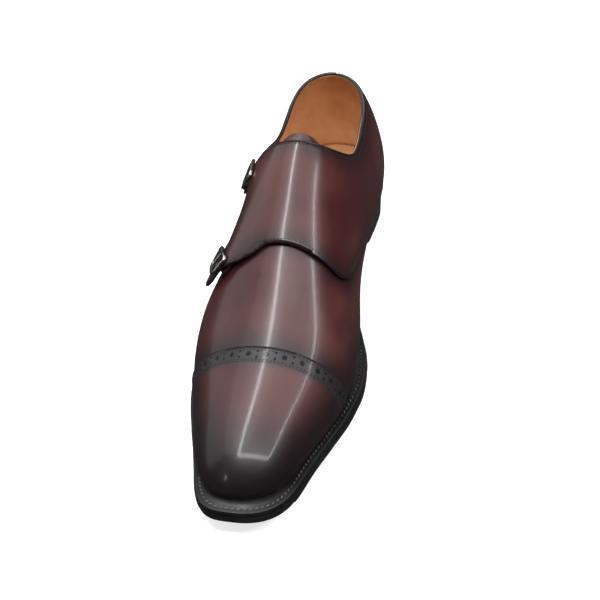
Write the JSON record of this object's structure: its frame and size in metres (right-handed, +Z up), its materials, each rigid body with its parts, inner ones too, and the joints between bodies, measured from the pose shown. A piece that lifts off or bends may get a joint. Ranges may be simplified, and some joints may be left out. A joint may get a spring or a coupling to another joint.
{
  "type": "monk strap shoe",
  "caption": "Right low leather shoe with a cap toe, an instep flap ending in buckled straps on the outer side, a stitched welt, a leather sole and a stacked heel.",
  "frame": {"origin": "on the floor under the middle of the heel", "axes": "+Z up, toe towards -Y, inner (medial) side towards +X, outer side with the buckles towards -X"},
  "size_m": [0.0969, 0.3064, 0.1086],
  "materials": {
    "upper_leather": "burnished glossy calf, dark wine brown going to black at the toe and edges",
    "tongue_leather": "semi-gloss dark brown leather",
    "edge_leather": "black painted leather edge, satin",
    "sole_leather": "dark red smooth sole leather, satin",
    "lining_leather": "tan lining leather, matt",
    "heel_rubber": "matt black rubber",
    "buckle_metal": "dark nickel, polished",
    "plate_metal": "polished gold-coloured brass"
  },
  "bodies": {
    "root": {"outsole": "sole_leather", "welt": "edge_leather", "heel_rand": "edge_leather", "insole": "lining_leather", "upper": "upper_leather", "tongue": "tongue_leather", "quarter_flap": "upper_leather", "buckle_frame_upper": "buckle_metal", "buckle_prong_upper": "buckle_metal", "buckle_tab_upper": "tongue_leather", "buckle_frame_lower": "buckle_metal", "buckle_prong_lower": "buckle_metal", "buckle_tab_lower": "tongue_leather", "heel_stack": "edge_leather", "heel_top_leather": "sole_leather", "heel_top_rubber": "heel_rubber", "toe_plate": "plate_metal", "toe_screw_1": "plate_metal", "toe_screw_2": "plate_metal", "toe_screw_3": "plate_metal", "toe_screw_4": "plate_metal"}
  },
  "joints": []
}
